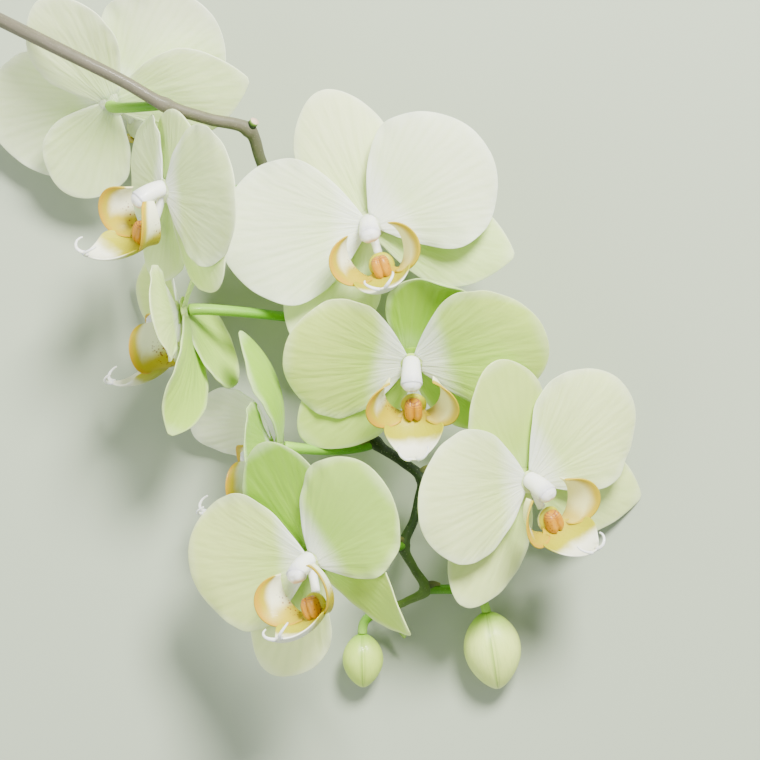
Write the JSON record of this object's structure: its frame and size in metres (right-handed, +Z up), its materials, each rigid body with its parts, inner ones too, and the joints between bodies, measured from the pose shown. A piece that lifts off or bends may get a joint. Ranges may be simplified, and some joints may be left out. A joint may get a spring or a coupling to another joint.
{
  "type": "moth orchid stem",
  "caption": "Cut moth orchid spray lying on its back: an arching stem with stalked pale green-white blooms, yellow lips and closed buds at the tip.",
  "frame": {"origin": "centre of the bounding box on the surface that the spray lies on", "axes": "+Z up from that surface and towards the faces of the blooms; +Y towards the upper edge of the picture and +X towards its right edge"},
  "size_m": [0.2782, 0.2624, 0.0985],
  "materials": {
    "stem": "matt, dusty grey-green",
    "stalk": "satin pale green",
    "tepal": "soft satin, pale yellow-green",
    "petal": "soft satin, greenish white",
    "lip": "waxy yellow with white ends",
    "bud": "waxy pale green"
  },
  "bodies": {
    "root": {"stem": "stem", "flower_1_stalk": "stalk", "flower_1_sepals": "tepal", "flower_1_petals": "petal", "flower_1_lip": "lip", "flower_2_stalk": "stalk", "flower_2_sepals": "tepal", "flower_2_petals": "petal", "flower_2_lip": "lip", "flower_3_stalk": "stalk", "flower_3_sepals": "tepal", "flower_3_petals": "petal", "flower_3_lip": "lip", "flower_4_stalk": "stalk", "flower_4_sepals": "tepal", "flower_4_petals": "petal", "flower_4_lip": "lip", "flower_5_stalk": "stalk", "flower_5_sepals": "tepal", "flower_5_petals": "petal", "flower_5_lip": "lip", "flower_6_stalk": "stalk", "flower_6_sepals": "tepal", "flower_6_petals": "petal", "flower_6_lip": "lip", "flower_7_stalk": "stalk", "flower_7_sepals": "tepal", "flower_7_petals": "petal", "flower_7_lip": "lip", "flower_8_stalk": "stalk", "flower_8_sepals": "tepal", "flower_8_petals": "petal", "flower_8_lip": "lip", "bud_1_stalk": "stalk", "bud_1": "bud", "bud_2_stalk": "stalk", "bud_2": "bud"}
  },
  "joints": []
}
